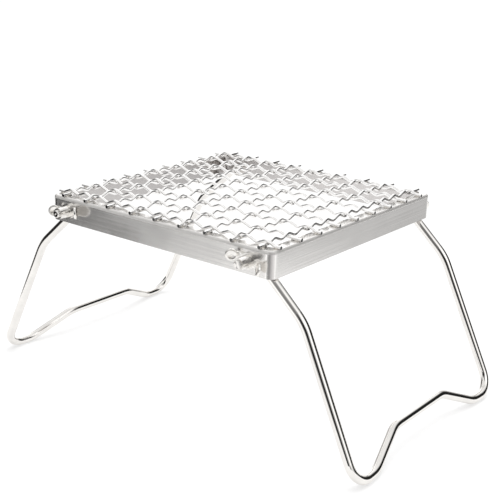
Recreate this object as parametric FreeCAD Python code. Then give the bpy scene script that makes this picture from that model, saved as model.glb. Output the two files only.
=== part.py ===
import FreeCAD, Part
import math
import os

from FreeCAD import Vector

# Folding camp grill. Millimetres, +Z up, ground at Z 0, origin on the ground below the frame's centre.
# X runs from one leg to the other, and the legs fold about axes parallel to Y.

# Frame: one flanged sheet band, open below.
FRAME_SIDE = 220.0
STRIP_HEIGHT = 20.0
SHEET = 1.2
FLANGE_WIDTH = 9.0
FOLD_RADIUS = 2.0
CORNER_RADIUS = 6.0
GRATE_REST_HEIGHT = 157.2

# Grate: crimped wires woven over and under each other, welded by their ends on the flange.
WIRE_DIAMETER = 2.5
WIRE_COUNT = 9
WIRE_EDGE_MARGIN = 12.8
WIRE_OVERHANG = 0.0
WEAVE_GAP = 0.1
CRIMPS_PER_PITCH = 3
CRIMP_RADIUS_PER_RISE = 1.73
LONG_WIRE_SHIFT = -3.33
CROSS_WIRE_SHIFT = 0.64

# Legs: one bent round rod each, with a turned journal at each end.
ROD_DIAMETER = 7.0
JOURNAL_DIAMETER = 6.0
JOURNAL_CLEARANCE = 0.05
SHOULDER_CLEARANCE = 0.05
JOURNAL_REACH = 14.0
JOURNAL_CHAMFER = 0.6
PIVOT_INSET = 20.0
LEG_INSET = 9.1
KNEE_OUT = 42.1
KNEE_DROP = 37.8
FOOT_OUT = 93.0
FOOT_SPLAY = 2.2
FOOT_LENGTH = 28.1
FOOT_TOE_IN = 1.4
NOTCH_RISE = 16.9
NOTCH_SLOPE_LENGTH = 39.1
NOTCH_LEAN = 9.5
PIVOT_BEND_RADIUS = 7.0
KNEE_BEND_RADIUS = 40.0
FOOT_BEND_RADIUS = 16.0
TOE_BEND_RADIUS = 26.0
NOTCH_BEND_RADIUS = 24.0

# Wing nuts: a pressed bar with its two ends bent outward into dished ears, on a tall threaded hub.
NUT_FACE_CLEARANCE = 0.1
NUT_THREAD_CLEARANCE = 0.05
HUB_RING_RADIUS = 6.0
HUB_RING_HEIGHT = 2.2
HUB_BASE_RADIUS = 4.9
HUB_TOP_RADIUS = 4.3
HUB_HEIGHT = 11.5
WING_BAR_REACH = 8.5
WING_BAR_WIDTH = 7.0
WING_THICKNESS = 2.0
WING_LIFT = 45.0
EAR_REACH = 5.0
EAR_RADIUS = 4.6
EAR_EDGE_RADIUS = 0.7
DISH_RADIUS = 3.2
DISH_DEPTH = 0.7
FRONT_LEFT_TURN = 6.0
FRONT_RIGHT_TURN = 166.0
REAR_LEFT_TURN = 12.0
REAR_RIGHT_TURN = 170.0

HALF_SIDE = FRAME_SIDE / 2
STRIP_BOTTOM = GRATE_REST_HEIGHT - STRIP_HEIGHT
INNER_HALF = HALF_SIDE - SHEET
WIRE_RADIUS = WIRE_DIAMETER / 2
ROD_RADIUS = ROD_DIAMETER / 2
JOURNAL_RADIUS = JOURNAL_DIAMETER / 2
HOLE_RADIUS = JOURNAL_RADIUS + JOURNAL_CLEARANCE
PIVOT_X = HALF_SIDE - PIVOT_INSET
PIVOT_Z = STRIP_BOTTOM + STRIP_HEIGHT / 2

WIRE_PITCH = (FRAME_SIDE - 2 * WIRE_EDGE_MARGIN) / (WIRE_COUNT - 1)
CRIMP_STEP = WIRE_PITCH / CRIMPS_PER_PITCH
CRIMP_RISE = WIRE_DIAMETER + WEAVE_GAP
CRIMP_RADIUS = CRIMP_RADIUS_PER_RISE * CRIMP_RISE
WEAVE_LOW = GRATE_REST_HEIGHT + WIRE_RADIUS
WEAVE_HIGH = WEAVE_LOW + CRIMP_RISE

X_AXIS = Vector(1, 0, 0)
Y_AXIS = Vector(0, 1, 0)
Z_AXIS = Vector(0, 0, 1)


def rounded_box(half_side, z_low, z_high, corner_radius):
    """Square box about the Z axis with rounded upright edges."""
    side = 2 * half_side
    box = Part.makeBox(side, side, z_high - z_low, Vector(-half_side, -half_side, z_low))
    upright = [e for e in box.Edges if abs(e.BoundBox.ZLength - (z_high - z_low)) < 1e-6]
    return box.makeFillet(corner_radius, upright)


def round_top(solid, z_top, radius):
    """Round every edge that lies in the plane at z_top."""
    rim = []
    for edge in solid.Edges:
        box = edge.BoundBox
        if abs(box.ZMin - z_top) < 1e-6 and abs(box.ZMax - z_top) < 1e-6:
            rim.append(edge)
    return solid.makeFillet(radius, rim)


def build_frame():
    """Four strips and their inward flanges as one folded band with four pivot holes."""
    outer = rounded_box(HALF_SIDE, STRIP_BOTTOM, GRATE_REST_HEIGHT, CORNER_RADIUS)
    outer = round_top(outer, GRATE_REST_HEIGHT, FOLD_RADIUS)
    inner_top = GRATE_REST_HEIGHT - SHEET
    inner = rounded_box(INNER_HALF, STRIP_BOTTOM - SHEET, inner_top, CORNER_RADIUS - SHEET)
    inner = round_top(inner, inner_top, FOLD_RADIUS - SHEET)
    opening_half = HALF_SIDE - FLANGE_WIDTH
    opening = rounded_box(opening_half, inner_top - SHEET, GRATE_REST_HEIGHT + SHEET, SHEET)
    band = outer.cut(inner).cut(opening)
    for side_x in (-1, 1):
        start = Vector(side_x * PIVOT_X, -FRAME_SIDE, PIVOT_Z)
        band = band.cut(Part.makeCylinder(HOLE_RADIUS, 2 * FRAME_SIDE, start, Y_AXIS))
    return band


def crimp_angle():
    """Slope angle at which two equal bends and one straight make one half wave."""
    spare = 2 * CRIMP_RADIUS - CRIMP_RISE
    span = math.hypot(CRIMP_STEP, spare)
    return math.asin(2 * CRIMP_RADIUS / span) - math.atan2(spare, CRIMP_STEP)


def crimped_path(first, starts_high, ends_high, place):
    """Centreline of a wire: bends joined by straights, with a level run on the flange at each end."""
    angle = crimp_angle()
    reach = CRIMP_RADIUS * math.sin(angle)
    sag = CRIMP_RADIUS * (1 - math.cos(angle))
    tip = HALF_SIDE + WIRE_OVERHANG
    steps = (WIRE_COUNT - 1) * CRIMPS_PER_PITCH
    low_index = -1 if starts_high else 0
    high_index = steps + 1 if ends_high else steps
    cursor = place(-tip, WEAVE_LOW)
    pieces = []
    for index in range(low_index, high_index + 1):
        along = first + index * CRIMP_STEP
        high = (index % 2 == 0) == starts_high
        level = WEAVE_HIGH if high else WEAVE_LOW
        side = level - sag if high else level + sag
        enter = place(along - reach, side)
        leave = place(along + reach, side)
        middle = place(along, level)
        if index == low_index:
            enter = middle
            middle = half_bend(along, level, angle, 1, place)
        if index == high_index:
            leave = place(along, level)
            middle = half_bend(along, level, angle, -1, place)
        pieces.append(Part.LineSegment(cursor, enter).toShape())
        pieces.append(Part.Arc(enter, middle, leave).toShape())
        cursor = leave
    pieces.append(Part.LineSegment(cursor, place(tip, WEAVE_LOW)).toShape())
    return Part.Wire(pieces)


def half_bend(along, level, angle, way, place):
    """Middle point of the half bend between a level run and a slope, on the side given by way."""
    return place(along + way * CRIMP_RADIUS * math.sin(angle / 2),
                 level + CRIMP_RADIUS * (1 - math.cos(angle / 2)))


def swept_rod(path, radius):
    """Round bar of the given radius along a path."""
    edge = path.OrderedEdges[0]
    start = edge.valueAt(edge.FirstParameter)
    heading = edge.tangentAt(edge.FirstParameter)
    if edge.Orientation == "Reversed":
        start = edge.valueAt(edge.LastParameter)
        heading = edge.tangentAt(edge.LastParameter) * -1
    section = Part.Wire(Part.makeCircle(radius, start, heading))
    return path.makePipeShell([section], True, False)


def build_long_wire(row):
    """Wire parallel to X in the given row, counted from the front."""
    first = CROSS_WIRE_SHIFT - (WIRE_COUNT - 1) / 2 * WIRE_PITCH
    y = LONG_WIRE_SHIFT + (row - (WIRE_COUNT - 1) / 2) * WIRE_PITCH
    starts_high = row % 2 == 0
    ends_high = (row + WIRE_COUNT - 1) % 2 == 0
    path = crimped_path(first, starts_high, ends_high, lambda along, z: Vector(along, y, z))
    return swept_rod(path, WIRE_RADIUS)


def build_cross_wire(column):
    """Wire parallel to Y in the given column, counted from the left."""
    first = LONG_WIRE_SHIFT - (WIRE_COUNT - 1) / 2 * WIRE_PITCH
    x = CROSS_WIRE_SHIFT + (column - (WIRE_COUNT - 1) / 2) * WIRE_PITCH
    starts_high = column % 2 == 1
    ends_high = (column + WIRE_COUNT - 1) % 2 == 1
    path = crimped_path(first, starts_high, ends_high, lambda along, z: Vector(x, along, z))
    return swept_rod(path, WIRE_RADIUS)


def bent_path(points, radii):
    """Centreline through the points, with each inner corner rounded to its radius."""
    pieces = []
    cursor = points[0]
    for before, corner, after, radius in zip(points, points[1:], points[2:], radii):
        inward = (before - corner).normalize()
        onward = (after - corner).normalize()
        half_turn = (math.pi - inward.getAngle(onward)) / 2
        trim = radius * math.tan(half_turn)
        bisector = (inward + onward).normalize()
        apex = corner + bisector * (radius / math.cos(half_turn) - radius)
        enter = corner + inward * trim
        leave = corner + onward * trim
        pieces.append(Part.LineSegment(cursor, enter).toShape())
        pieces.append(Part.Arc(enter, apex, leave).toShape())
        cursor = leave
    pieces.append(Part.LineSegment(cursor, points[-1]).toShape())
    return Part.Wire(pieces)


def leg_points():
    """Corner points of the right leg's centreline, from the front journal's shoulder to the rear's."""
    shoulder = INNER_HALF - SHOULDER_CLEARANCE
    side = HALF_SIDE - LEG_INSET
    foot_side = side + FOOT_SPLAY
    foot_x = PIVOT_X + FOOT_OUT
    notch_side = foot_side - FOOT_LENGTH
    bar_side = notch_side - NOTCH_SLOPE_LENGTH
    front = [
        Vector(PIVOT_X, -shoulder, PIVOT_Z),
        Vector(PIVOT_X, -side, PIVOT_Z),
        Vector(PIVOT_X + KNEE_OUT, -side, PIVOT_Z - KNEE_DROP),
        Vector(foot_x, -foot_side, ROD_RADIUS),
        Vector(foot_x - FOOT_TOE_IN, -notch_side, ROD_RADIUS),
        Vector(foot_x - FOOT_TOE_IN - NOTCH_LEAN, -bar_side, ROD_RADIUS + NOTCH_RISE),
    ]
    rear = [Vector(p.x, -p.y, p.z) for p in reversed(front)]
    return front + rear


def build_journal(side_y):
    """Turned end of a leg's rod, through the strip and the nut, with a chamfered tip."""
    start = INNER_HALF - SHOULDER_CLEARANCE - ROD_RADIUS / 4
    tip = HALF_SIDE + JOURNAL_REACH
    straight = tip - JOURNAL_CHAMFER - start
    heading = Vector(0, side_y, 0)
    shank_start = Vector(PIVOT_X, side_y * start, PIVOT_Z)
    shank = Part.makeCylinder(JOURNAL_RADIUS, straight, shank_start, heading)
    nose_start = Vector(PIVOT_X, side_y * (tip - JOURNAL_CHAMFER), PIVOT_Z)
    nose_radius = JOURNAL_RADIUS - JOURNAL_CHAMFER
    nose = Part.makeCone(JOURNAL_RADIUS, nose_radius, JOURNAL_CHAMFER, nose_start, heading)
    return shank.fuse(nose)


def build_right_leg():
    """Right leg: both side runs, both feet and the raised bar between them in one rod."""
    half_bends = [PIVOT_BEND_RADIUS, KNEE_BEND_RADIUS, FOOT_BEND_RADIUS]
    half_bends += [TOE_BEND_RADIUS, NOTCH_BEND_RADIUS]
    path = bent_path(leg_points(), half_bends + half_bends[::-1])
    leg = swept_rod(path, ROD_RADIUS)
    return leg.fuse([build_journal(-1), build_journal(1)]).removeSplitter()


def build_ear():
    """Round-ended ear lying flat, root at X 0, with a shallow dish in its upper face."""
    back = -WING_THICKNESS / 2
    root = Part.makeBox(EAR_REACH, WING_BAR_WIDTH, WING_THICKNESS, Vector(0, -WING_BAR_WIDTH / 2, back))
    ear = root.fuse(Part.makeCylinder(EAR_RADIUS, WING_THICKNESS, Vector(EAR_REACH, 0, back)))
    ear = ear.removeSplitter()
    rims = []
    for edge in ear.Edges:
        box = edge.BoundBox
        if box.ZLength < 1e-6 and box.XMax > 1e-3:
            rims.append(edge)
    ear = ear.makeFillet(EAR_EDGE_RADIUS, rims)
    sphere_rise = (DISH_RADIUS ** 2 - DISH_DEPTH ** 2) / (2 * DISH_DEPTH)
    centre = Vector(EAR_REACH, 0, WING_THICKNESS / 2 + sphere_rise)
    return ear.cut(Part.makeSphere(sphere_rise + DISH_DEPTH, centre))


def build_wing():
    """One half of the pressed bar along X, with its ear bent up towards Z."""
    half_width = WING_BAR_WIDTH / 2
    bar = Part.makeBox(WING_BAR_REACH, WING_BAR_WIDTH, WING_THICKNESS, Vector(0, -half_width, 0))
    middle = WING_THICKNESS / 2
    bend = Part.makeCylinder(middle, WING_BAR_WIDTH, Vector(WING_BAR_REACH, -half_width, middle), Y_AXIS)
    ear = build_ear()
    ear.rotate(Vector(0, 0, 0), Y_AXIS, -WING_LIFT)
    ear.translate(Vector(WING_BAR_REACH, 0, middle))
    return bar.fuse([bend, ear])


def build_nut():
    """Wing nut on the Z axis with its bearing face at Z 0."""
    ring = Part.makeCylinder(HUB_RING_RADIUS, HUB_RING_HEIGHT)
    hub = Part.makeCone(HUB_BASE_RADIUS, HUB_TOP_RADIUS, HUB_HEIGHT)
    wing = build_wing()
    other = wing.copy()
    other.rotate(Vector(0, 0, 0), Z_AXIS, 180)
    nut = hub.fuse([ring, wing, other])
    bore = Part.makeCylinder(JOURNAL_RADIUS + NUT_THREAD_CLEARANCE, 2 * HUB_HEIGHT,
                             Vector(0, 0, -HUB_HEIGHT / 2))
    return nut.cut(bore).removeSplitter()


def place_nut(nut, side_x, side_y, turn):
    """Put a nut on its journal, turned about the journal from level."""
    placed = nut.copy()
    placed.rotate(Vector(0, 0, 0), Z_AXIS, -side_y * turn)
    placed.rotate(Vector(0, 0, 0), X_AXIS, -side_y * 90)
    face = HALF_SIDE + NUT_FACE_CLEARANCE
    placed.translate(Vector(side_x * PIVOT_X, side_y * face, PIVOT_Z))
    return placed


def build_all():
    """Every piece of the grill by node name."""
    pieces = {"frame_band": build_frame()}
    for number in range(WIRE_COUNT):
        pieces["long_wire_%d" % (number + 1)] = build_long_wire(number)
        pieces["cross_wire_%d" % (number + 1)] = build_cross_wire(number)
    right_leg = build_right_leg()
    pieces["leg_right"] = right_leg
    pieces["leg_left"] = right_leg.mirror(Vector(0, 0, 0), X_AXIS)
    nut = build_nut()
    pieces["wing_nut_front_left"] = place_nut(nut, -1, -1, FRONT_LEFT_TURN)
    pieces["wing_nut_front_right"] = place_nut(nut, 1, -1, FRONT_RIGHT_TURN)
    pieces["wing_nut_rear_left"] = place_nut(nut, -1, 1, REAR_LEFT_TURN)
    pieces["wing_nut_rear_right"] = place_nut(nut, 1, 1, REAR_RIGHT_TURN)
    return pieces


os.makedirs("parts", exist_ok=True)
for name, shape in build_all().items():
    shape.exportStep("parts/%s.step" % name)
    print(name, shape.isValid(), len(shape.Solids), round(shape.Volume, 2))
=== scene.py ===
"""Folding camp grill: a woven wire grate on a strip frame, with two bent-rod legs held by wing nuts."""

import logging
import math
from dataclasses import dataclass, field
from enum import Enum

import bpy
import numpy as np
from mathutils import Matrix, Vector


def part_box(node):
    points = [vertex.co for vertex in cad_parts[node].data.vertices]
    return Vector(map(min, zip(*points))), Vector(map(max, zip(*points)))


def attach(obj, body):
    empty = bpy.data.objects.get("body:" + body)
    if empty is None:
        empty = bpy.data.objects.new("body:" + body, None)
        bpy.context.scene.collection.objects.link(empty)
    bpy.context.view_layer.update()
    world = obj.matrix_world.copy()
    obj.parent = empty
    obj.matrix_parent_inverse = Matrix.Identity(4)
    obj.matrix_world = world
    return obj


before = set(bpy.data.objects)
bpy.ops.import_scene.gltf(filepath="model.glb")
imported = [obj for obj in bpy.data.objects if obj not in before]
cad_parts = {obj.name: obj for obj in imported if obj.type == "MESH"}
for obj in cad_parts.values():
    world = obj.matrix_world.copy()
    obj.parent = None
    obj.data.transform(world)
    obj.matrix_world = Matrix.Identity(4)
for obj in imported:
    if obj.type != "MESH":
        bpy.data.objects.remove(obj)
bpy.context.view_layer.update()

log = logging.getLogger("camp_grill")

Colour = tuple[float, float, float]  # linear red, green and blue
Place = tuple[float, float, float]  # metres
Feed = bpy.types.NodeSocket | float | tuple  # a value, or the output socket that gives it


class Side(Enum):
    """The grill's two legs, by the sign of X."""

    LEFT = -1
    RIGHT = 1


class End(Enum):
    """The front and rear strips, by the sign of Y."""

    FRONT = -1
    REAR = 1


# ---------------------------------------------------------------- meshes


def mesh_from_grids(name: str, grids: np.ndarray) -> bpy.types.Object:
    """Make one mesh object from one or more grids of points whose rings run full circle.

    Each face joins a point, its neighbour round the ring, and the same two points of the next ring.

    Args:
        name: Name of the object.
        grids: Points in metres, shaped (copies, rings, points per ring, 3).

    Returns:
        The object, linked to the scene and smooth shaded.
    """
    copies, rings, around = grids.shape[:3]
    here = np.arange(copies * rings * around).reshape(copies, rings, around)
    beside = np.roll(here, -1, axis=2)
    quads = np.stack([here[:, :-1], beside[:, :-1], beside[:, 1:], here[:, 1:]], axis=-1).reshape(-1, 4)
    mesh = bpy.data.meshes.new(name)
    mesh.from_pydata(grids.reshape(-1, 3).tolist(), [], quads.tolist())
    mesh.polygons.foreach_set("use_smooth", [True] * len(quads))
    mesh.update()
    made = bpy.data.objects.new(name, mesh)
    bpy.context.scene.collection.objects.link(made)
    return made


# ---------------------------------------------------------------- node trees


@dataclass
class NodeBench:
    """Short calls that add and join nodes in one tree."""

    tree: bpy.types.NodeTree

    def add(self, kind: str, inputs: dict[str | int, Feed] | None = None, **settings: object) -> bpy.types.Node:
        """Add a node.

        Args:
            kind: Node type, without the "ShaderNode" that it starts with, or in full.
            inputs: Value or output socket for each input, by name or number.
            settings: Properties of the node.

        Returns:
            The node.
        """
        full = kind if kind.startswith("NodeGroup") else "ShaderNode" + kind
        node = self.tree.nodes.new(full)
        for key, value in settings.items():
            setattr(node, key, value)
        for key, value in (inputs or {}).items():
            if isinstance(value, bpy.types.NodeSocket):
                self.tree.links.new(value, node.inputs[key])
            else:
                node.inputs[key].default_value = value
        return node

    def math(self, operation: str, first: Feed, second: Feed = 0.0) -> bpy.types.NodeSocket:
        """Add a Math node and give its output."""
        return self.add("Math", {0: first, 1: second}, operation=operation).outputs[0]

    def to_unit(self, value: Feed, low: float, high: float) -> bpy.types.NodeSocket:
        """Map a value so that low gives 0 and high gives 1, held at the ends."""
        return self.add("MapRange", {0: value, 1: low, 2: high, 3: 0.0, 4: 1.0}).outputs[0]

    def blend(self, factor: Feed, first: Feed, second: Feed) -> bpy.types.NodeSocket:
        """Mix two colours, which are inputs 6 and 7 of the node, from the first at 0 to the second at 1."""
        return self.add("Mix", {0: factor, 6: first, 7: second}, data_type="RGBA").outputs[2]

    def object_place(self) -> bpy.types.bpy_prop_collection:
        """Give the outputs X, Y and Z of a point's place on the object."""
        return self.add("SeparateXYZ", {0: self.add("TexCoord").outputs["Object"]}).outputs

    def reach(self, place: bpy.types.bpy_prop_collection) -> bpy.types.NodeSocket:
        """Give the distance from the middle along X or along Y, whichever is more."""
        return self.math("MAXIMUM", self.math("ABSOLUTE", place["X"]), self.math("ABSOLUTE", place["Y"]))


def new_group(name: str, inputs: dict[str, tuple[str, object]], outputs: dict[str, str]) -> NodeBench:
    """Start a shader node group.

    Args:
        name: Name of the group.
        inputs: Socket type and default value, by input name.
        outputs: Socket type, by output name.

    Returns:
        A bench for the group's tree.
    """
    tree = bpy.data.node_groups.new(name, "ShaderNodeTree")
    for label, (kind, value) in inputs.items():
        socket = tree.interface.new_socket(label, in_out="INPUT", socket_type="NodeSocket" + kind)
        socket.default_value = value
    for label, kind in outputs.items():
        tree.interface.new_socket(label, in_out="OUTPUT", socket_type="NodeSocket" + kind)
    return NodeBench(tree)


GRAIN_DETAIL = 3.0
GRAIN_SPREAD = (0.3, 0.7)
MARKS_DETAIL = 4.0
MARKS_SPREAD = (0.35, 0.65)


def grain_group() -> bpy.types.NodeTree:
    """Group for drawn and brushed steel: noise stretched along the grain.

    Returns:
        The group, with a Scale vector input and the outputs Tone and Height.
    """
    bench = new_group(
        "Steel grain", {"Scale": ("Vector", (30.0, 30.0, 2500.0))}, {"Tone": "Float", "Height": "Float"}
    )
    given = bench.add("NodeGroupInput")
    place = bench.add("TexCoord")
    stretched = bench.add(
        "VectorMath", {0: place.outputs["Object"], 1: given.outputs["Scale"]}, operation="MULTIPLY"
    )
    noise = bench.add("TexNoise", {"Vector": stretched.outputs[0], "Scale": 1.0, "Detail": GRAIN_DETAIL})
    tone = bench.to_unit(noise.outputs["Fac"], *GRAIN_SPREAD)
    bench.add("NodeGroupOutput", {"Tone": tone, "Height": noise.outputs["Fac"]})
    return bench.tree


def handling_group() -> bpy.types.NodeTree:
    """Group for the broad smudges that handling leaves: slow noise between two roughness values.

    Returns:
        The group, with Size, Smooth and Dull inputs and the output Roughness.
    """
    bench = new_group(
        "Handling marks",
        {"Size": ("Float", 25.0), "Smooth": ("Float", 0.2), "Dull": ("Float", 0.3)},
        {"Roughness": "Float"},
    )
    given = bench.add("NodeGroupInput")
    place = bench.add("TexCoord")
    noise = bench.add(
        "TexNoise",
        {"Vector": place.outputs["Object"], "Scale": given.outputs["Size"], "Detail": MARKS_DETAIL},
    )
    mask = bench.to_unit(noise.outputs["Fac"], *MARKS_SPREAD)
    spread = bench.math("SUBTRACT", given.outputs["Dull"], given.outputs["Smooth"])
    rough = bench.math("ADD", given.outputs["Smooth"], bench.math("MULTIPLY", mask, spread))
    bench.add("NodeGroupOutput", {"Roughness": rough})
    return bench.tree


@dataclass(frozen=True)
class SteelFinish:
    """A bare steel finish with grain and handling marks."""

    name: str
    light: Colour
    dark: Colour
    smooth: float
    dull: float
    grain_scale: tuple[float, float, float]
    grain_depth: float
    mark_size: float = 25.0

    def build(self, grain: bpy.types.NodeTree, handling: bpy.types.NodeTree) -> bpy.types.Material:
        """Make the material.

        Args:
            grain: The steel grain group.
            handling: The handling marks group.

        Returns:
            The material.
        """
        material = bpy.data.materials.new(self.name)
        material.use_nodes = True
        material.node_tree.nodes.clear()
        bench = NodeBench(material.node_tree)
        lines = bench.add("Group", node_tree=grain)
        lines.inputs["Scale"].default_value = self.grain_scale
        marks = bench.add("Group", node_tree=handling)
        marks.inputs["Size"].default_value = self.mark_size
        marks.inputs["Smooth"].default_value = self.smooth
        marks.inputs["Dull"].default_value = self.dull
        colour = bench.blend(lines.outputs["Tone"], (*self.dark, 1.0), (*self.light, 1.0))
        relief = self.relief(bench, lines.outputs["Height"])
        bump = bench.add("Bump", {"Height": relief, "Strength": 1.0, "Distance": self.grain_depth})
        surface = bench.add(
            "BsdfPrincipled",
            {
                "Base Color": self.tint(bench, colour),
                "Metallic": 1.0,
                "Roughness": self.sheen(bench, marks.outputs["Roughness"]),
                "Normal": bump.outputs[0],
            },
        )
        bench.add("OutputMaterial", {"Surface": surface.outputs[0]})
        return material

    def tint(self, bench: NodeBench, colour: bpy.types.NodeSocket) -> bpy.types.NodeSocket:
        """Leave the colour as it is; a finish with marks of its own changes it."""
        return colour

    def relief(self, bench: NodeBench, height: bpy.types.NodeSocket) -> bpy.types.NodeSocket:
        """Leave the relief as it is; a finish with relief of its own changes it."""
        return height

    def sheen(self, bench: NodeBench, roughness: bpy.types.NodeSocket) -> bpy.types.NodeSocket:
        """Leave the roughness as it is; a finish with worn places changes it."""
        return roughness


@dataclass(frozen=True)
class StripSteel(SteelFinish):
    """Brushed strip whose fold into the flange is scuffed dull and whose inside is darkened with painted shade.
    """

    fold_from: float = 0.1548
    fold_to: float = 0.15717
    scuffed: float = 0.6
    inside_to: float = 0.1094
    inside_top: float = 0.1565
    # painted shade: a darker colour for the strip's inside walls, standing in for the shade there
    inside_painted_shade: Colour = (0.60, 0.58, 0.57)

    def tint(self, bench: NodeBench, colour: bpy.types.NodeSocket) -> bpy.types.NodeSocket:
        """Darken the inside with painted shade: nearer the middle than inside_to in both X and Y, and below
        inside_top.

        Args:
            bench: Bench of the material's tree.
            colour: The colour so far.

        Returns:
            The colour with painted shade on the inside.
        """
        place = bench.object_place()
        within = bench.math("LESS_THAN", bench.reach(place), self.inside_to)
        below = bench.math("LESS_THAN", place["Z"], self.inside_top)
        # painted shade: the inside walls are blended towards the darker colour
        return bench.blend(bench.math("MULTIPLY", within, below), colour, (*self.inside_painted_shade, 1.0))

    def sheen(self, bench: NodeBench, roughness: bpy.types.NodeSocket) -> bpy.types.NodeSocket:
        """Dull the fold: the heights between fold_from and fold_to.

        Args:
            bench: Bench of the material's tree.
            roughness: The roughness so far.

        Returns:
            The roughness, raised to at least scuffed on the fold.
        """
        height = bench.object_place()["Z"]
        above = bench.math("GREATER_THAN", height, self.fold_from)
        below = bench.math("LESS_THAN", height, self.fold_to)
        worn = bench.math("MULTIPLY", bench.math("MULTIPLY", above, below), self.scuffed)
        return bench.math("MAXIMUM", roughness, worn)


@dataclass(frozen=True)
class WireSteel(SteelFinish):
    """Bright drawn wire whose sheared ends are dark."""

    end_at: float = 0.10995
    end_shade: Colour = (0.12, 0.12, 0.12)

    def tint(self, bench: NodeBench, colour: bpy.types.NodeSocket) -> bpy.types.NodeSocket:
        """Darken the sheared ends: everything further out than end_at from the middle in X or Y."""
        mask = bench.math("GREATER_THAN", bench.reach(bench.object_place()), self.end_at)
        return bench.blend(mask, colour, (*self.end_shade, 1.0))


@dataclass(frozen=True)
class ThreadedRodSteel(SteelFinish):
    """Polished rod whose ends beyond the strips carry a screw thread."""

    thread_from: float = 0.1101
    thread_pitch: float = 0.001
    thread_depth: float = 0.0003
    axis_x: float = 0.090
    axis_z: float = 0.1472

    def relief(self, bench: NodeBench, height: bpy.types.NodeSocket) -> bpy.types.NodeSocket:
        """Add the thread to the relief.

        It is a sine of the distance along Y over the pitch, in full turns, plus the turn about the
        end's axis.

        Args:
            bench: Bench of the material's tree.
            height: The relief so far.

        Returns:
            The relief with the thread.
        """
        place = bench.object_place()
        along = bench.math("ABSOLUTE", place["Y"])
        beside = bench.math("SUBTRACT", bench.math("ABSOLUTE", place["X"]), self.axis_x)
        above = bench.math("SUBTRACT", place["Z"], self.axis_z)
        turn = bench.math("ARCTAN2", above, beside)
        phase = bench.math("ADD", bench.math("MULTIPLY", along, 2 * math.pi / self.thread_pitch), turn)
        wave = bench.math("MULTIPLY", bench.math("SINE", phase), self.thread_depth / self.grain_depth / 2)
        outside = bench.math("GREATER_THAN", along, self.thread_from)
        return bench.math("ADD", height, bench.math("MULTIPLY", wave, outside))


# ---------------------------------------------------------------- sub-assemblies


@dataclass
class Workshop:
    """The finishes, made once, for the sub-assemblies to share."""

    strip: bpy.types.Material = field(init=False)
    wire: bpy.types.Material = field(init=False)
    rod: bpy.types.Material = field(init=False)
    nut: bpy.types.Material = field(init=False)
    weld: bpy.types.Material = field(init=False)

    def __post_init__(self) -> None:
        """Make every finish."""
        grain, handling = grain_group(), handling_group()
        self.strip = StripSteel(
            name="Brushed strip",
            light=(0.87, 0.855, 0.835),
            dark=(0.70, 0.685, 0.67),
            smooth=0.19,
            dull=0.27,
            grain_scale=(9.0, 9.0, 3000.0),
            grain_depth=0.00002,
        ).build(grain, handling)
        self.wire = WireSteel(
            name="Drawn wire",
            light=(0.95, 0.94, 0.93),
            dark=(0.88, 0.87, 0.86),
            smooth=0.06,
            dull=0.11,
            grain_scale=(400.0, 400.0, 400.0),
            grain_depth=0.00001,
        ).build(grain, handling)
        self.rod = ThreadedRodSteel(
            name="Polished rod",
            light=(0.87, 0.85, 0.82),
            dark=(0.79, 0.77, 0.745),
            smooth=0.05,
            dull=0.10,
            grain_scale=(60.0, 60.0, 60.0),
            grain_depth=0.000005,
        ).build(grain, handling)
        self.nut = SteelFinish(
            name="Tumbled casting",
            light=(0.92, 0.90, 0.87),
            dark=(0.78, 0.76, 0.73),
            smooth=0.14,
            dull=0.26,
            grain_scale=(700.0, 700.0, 700.0),
            grain_depth=0.00004,
        ).build(grain, handling)
        # partly painted shade: the nuggets' darker tone is heat tint and also stands in for the shadow beside
        # each wire's end
        self.weld = SteelFinish(
            name="Weld nugget",
            light=(0.80, 0.77, 0.72),
            dark=(0.50, 0.47, 0.43),
            smooth=0.22,
            dull=0.38,
            grain_scale=(900.0, 900.0, 900.0),
            grain_depth=0.00008,
        ).build(grain, handling)


def dress(node: bpy.types.Object, material: bpy.types.Material) -> None:
    """Give an object one material and report it.

    Args:
        node: The object, of the CAD or new.
        material: The finish it gets.
    """
    node.data.materials.clear()
    node.data.materials.append(material)
    log.info("dressed %s in %s", node.name, material.name)


@dataclass
class StripFrame:
    """The folded strip band that carries the grate."""

    node: str = "frame_band"

    def build(self, finishes: Workshop) -> None:
        """Dress the band in the strip finish."""
        dress(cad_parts[self.node], finishes.strip)


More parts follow.
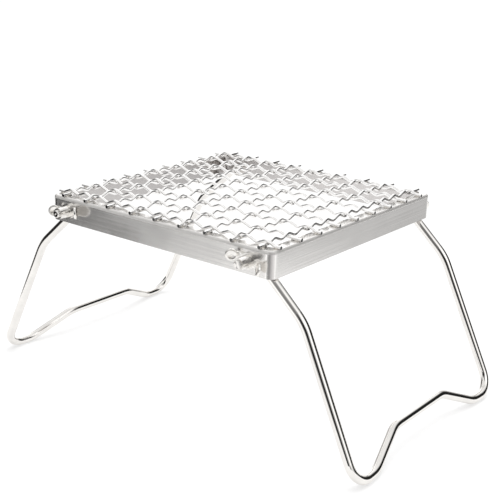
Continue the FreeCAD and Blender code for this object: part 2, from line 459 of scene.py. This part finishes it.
@dataclass
class Grate:
    """The woven grate: two layers of crimped wires, each welded to the flange at both ends."""

    layers: tuple[str, ...] = ("long_wire", "cross_wire")
    nugget: tuple[float, float, float] = (0.0021, 0.0019, 0.0008)
    weld_inset: float = 0.0042
    nugget_around: int = 20
    nugget_rings: int = 7
    nugget_top: float = math.pi / 2 - 0.02

    def build(self, finishes: Workshop) -> None:
        """Dress every wire and weld its ends.

        Args:
            finishes: The shared finishes.
        """
        wires = sorted(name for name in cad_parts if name.rsplit("_", 1)[0] in self.layers)
        for name in wires:
            dress(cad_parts[name], finishes.wire)
        self.weld_ends(wires, finishes)

    def weld_ends(self, wires: list[str], finishes: Workshop) -> None:
        """Make the nuggets that join each wire's two ends to the flange.

        Each is half an ellipsoid lying on the flange below the wire: its point at a turn and a rise is
        half length * cos turn * cos rise, half width * sin turn * cos rise and height * sin rise.

        Args:
            wires: Names of the wires.
            finishes: The shared finishes.
        """
        turn = np.linspace(0.0, 2 * math.pi, self.nugget_around, endpoint=False)
        rise = np.linspace(0.0, self.nugget_top, self.nugget_rings)
        round_cos, round_sin = np.cos(turn)[None, :], np.sin(turn)[None, :]
        domes = []
        for name in wires:
            low, high = (np.array(corner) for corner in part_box(name))
            lies_x = high[0] - low[0] > high[1] - low[1]
            half_x, half_y = self.nugget[:2] if lies_x else self.nugget[1::-1]
            along = 0 if lies_x else 1
            for way in (-1.0, 1.0):
                seat = (low + high) / 2
                seat[along] = way * (high[along] - self.weld_inset)
                dome = np.zeros((len(rise), len(turn), 3))
                dome[:, :, 0] = seat[0] + half_x * round_cos * np.cos(rise)[:, None]
                dome[:, :, 1] = seat[1] + half_y * round_sin * np.cos(rise)[:, None]
                dome[:, :, 2] = low[2] + self.nugget[2] * np.sin(rise)[:, None]
                domes.append(dome)
        made = mesh_from_grids("weld_nuggets", np.array(domes))
        dress(made, finishes.weld)
        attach(made, "frame")
        log.info("made %d weld nuggets", len(domes))


@dataclass
class FoldingLeg:
    """One bent-rod leg and its two wing nuts."""

    side: Side

    def build(self, finishes: Workshop) -> None:
        """Dress the leg and its nuts.

        Args:
            finishes: The shared finishes.
        """
        label = self.side.name.lower()
        dress(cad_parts["leg_" + label], finishes.rod)
        for end in End:
            dress(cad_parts[f"wing_nut_{end.name.lower()}_{label}"], finishes.nut)


# ---------------------------------------------------------------- stage


@dataclass(frozen=True)
class Glow:
    """A soft patch of light or shade in the studio's surroundings."""

    azimuth: float
    elevation: float
    tightness: float
    strength: float

    def direction(self) -> Place:
        """Unit vector towards the patch's middle; azimuth 0 is +X and 90 is +Y."""
        a, e = math.radians(self.azimuth), math.radians(self.elevation)
        return (math.cos(a) * math.cos(e), math.sin(a) * math.cos(e), math.sin(e))


@dataclass(frozen=True)
class SoftLight:
    """A square soft light that the steel doesn't mirror."""

    name: str = "Overhead soft light"
    place: Place = (0.1, 0.1, 1.6)
    aim: Place = (0.0, 0.0, 0.1)
    size: float = 1.2
    power: float = 10.0

    def hang(self) -> None:
        """Hang the light and turn it towards its aim."""
        lamp = bpy.data.lights.new(self.name, "AREA")
        lamp.size, lamp.energy = self.size, self.power
        hung = bpy.data.objects.new(self.name, lamp)
        hung.location = self.place
        hung.rotation_mode = "QUATERNION"
        hung.rotation_quaternion = (Vector(self.aim) - Vector(self.place)).to_track_quat("-Z", "Y")
        hung.visible_glossy = False
        bpy.context.scene.collection.objects.link(hung)


@dataclass
class Studio:
    """Pale floor, soft surroundings and the camera."""

    floor_radius: float = 0.43
    floor_inner: float = 0.001
    floor_level: float = -0.0002
    floor_around: int = 96
    floor_rings: int = 24
    floor_tone: float = 0.5
    floor_roughness: float = 0.9
    floor_glow: float = 0.53
    bands: tuple[tuple[float, float], ...] = (
        (-50.0, 0.95),
        (-24.0, 0.90),
        (-7.0, 0.85),
        (0.0, 0.04),
        (22.0, 0.05),
        (36.0, 0.95),
        (74.0, 1.0),
        (88.0, 0.75),
    )
    glows: tuple[Glow, ...] = (
        Glow(127.0, 14.0, 8.0, 1.5),
        Glow(-115.0, 12.0, 12.0, 0.9),
        Glow(-62.0, 42.0, 30.0, -0.9),
        Glow(-8.0, 24.0, 12.0, 1.6),
        Glow(51.0, 22.0, 20.0, -2.1),
        Glow(-152.0, -18.0, 26.0, -2.3),
        Glow(-116.0, -19.0, 90.0, 0.75),
        Glow(-80.0, -19.0, 10.0, -0.60),
        Glow(0.0, -18.0, 12.0, 0.40),
        Glow(63.0, -16.0, 40.0, -0.30),
    )
    darkest: float = 0.02
    brightest: float = 1.5
    backdrop: float = 1.05
    camera_place: Place = (0.4958, -0.6398, 0.3694)
    camera_right: Place = (0.7877, 0.6152, 0.0317)
    camera_ahead: Place = (-0.5784, 0.7562, -0.306)
    sensor: float = 36.0
    lens: float = 73.85

    def floor(self) -> None:
        """Make the floor, a flat disc: every point is radius times (cos, sin) at the ground."""
        angle = np.linspace(0.0, 2 * math.pi, self.floor_around, endpoint=False)
        radius = np.linspace(self.floor_inner, self.floor_radius, self.floor_rings)
        grid = np.zeros((1, self.floor_rings, self.floor_around, 3))
        grid[0, :, :, 0] = radius[:, None] * np.cos(angle)
        grid[0, :, :, 1] = radius[:, None] * np.sin(angle)
        grid[0, :, :, 2] = self.floor_level
        disc = mesh_from_grids("studio_floor", grid)
        disc.data.flip_normals()
        material = bpy.data.materials.new("Pale floor")
        material.use_nodes = True
        surface = material.node_tree.nodes["Principled BSDF"]
        surface.inputs["Base Color"].default_value = (self.floor_tone, self.floor_tone, self.floor_tone, 1.0)
        surface.inputs["Roughness"].default_value = self.floor_roughness
        surface.inputs["Specular IOR Level"].default_value = 0.0
        surface.inputs["Emission Color"].default_value = (1.0, 1.0, 1.0, 1.0)
        surface.inputs["Emission Strength"].default_value = self.floor_glow
        dress(disc, material)

    def surroundings(self) -> None:
        """Make the world: grey bands by elevation plus patches, each a power of the cosine to its middle.

        A band is (elevation in degrees, tone), and the tone between two bands runs evenly in the sine of
        the elevation. The sum is held between darkest and brightest. The camera sees plain white behind
        the floor.
        """
        world = bpy.data.worlds.new("Studio surroundings")
        bpy.context.scene.world = world
        world.use_nodes = True
        world.node_tree.nodes.clear()
        bench = NodeBench(world.node_tree)
        heading = bench.add("TexCoord").outputs["Generated"]
        height = bench.add("SeparateXYZ", {0: heading}).outputs["Z"]
        ramp = bench.add("ValToRGB", {0: bench.to_unit(height, -1.0, 1.0)})
        stops = ramp.color_ramp.elements
        ready = len(stops)  # a new ramp already has its first stops
        for position, (elevation, tone) in enumerate(self.bands):
            place = (math.sin(math.radians(elevation)) + 1.0) / 2.0
            stop = stops[position] if position < ready else stops.new(place)
            stop.position = place
            stop.color = (tone, tone, tone, 1.0)
        total = ramp.outputs[0]
        for glow in self.glows:
            facing = bench.add("VectorMath", {0: heading, 1: glow.direction()}, operation="DOT_PRODUCT")
            near = bench.math("MAXIMUM", facing.outputs["Value"], 0.0)
            falloff = bench.math("POWER", near, glow.tightness)
            total = bench.math("ADD", total, bench.math("MULTIPLY", falloff, glow.strength))
        level = bench.math("MINIMUM", bench.math("MAXIMUM", total, self.darkest), self.brightest)
        white = (1.0, 1.0, 1.0, 1.0)
        studio = bench.add("Background", {"Color": white, "Strength": level})
        behind = bench.add("Background", {"Color": white, "Strength": self.backdrop})
        seen = bench.add("LightPath").outputs["Is Camera Ray"]
        shown = bench.add("MixShader", {0: seen, 1: studio.outputs[0], 2: behind.outputs[0]})
        bench.add("OutputWorld", {"Surface": shown.outputs[0]})

    def camera(self) -> None:
        """Place the camera from its right and ahead directions."""
        ahead = Vector(self.camera_ahead).normalized()
        right = Vector(self.camera_right)
        right = (right - ahead * right.dot(ahead)).normalized()
        above = right.cross(ahead)
        turn = Matrix((right, above, -ahead)).transposed().to_4x4()
        data = bpy.data.cameras.new("Camera")
        data.sensor_width, data.lens = self.sensor, self.lens
        made = bpy.data.objects.new("Camera", data)
        made.matrix_world = Matrix.Translation(self.camera_place) @ turn
        bpy.context.scene.collection.objects.link(made)
        bpy.context.scene.camera = made

    def build(self) -> None:
        """Make the whole stage."""
        self.floor()
        self.surroundings()
        SoftLight().hang()
        self.camera()
        bpy.context.scene.view_settings.view_transform = "Standard"
        log.info("set the stage")


def main() -> None:
    """Build the grill's looks in order."""
    logging.basicConfig(level=logging.INFO, format="%(message)s")
    finishes = Workshop()
    StripFrame().build(finishes)
    Grate().build(finishes)
    for side in Side:
        FoldingLeg(side).build(finishes)
    Studio().build()


if __name__ == "__main__":
    main()
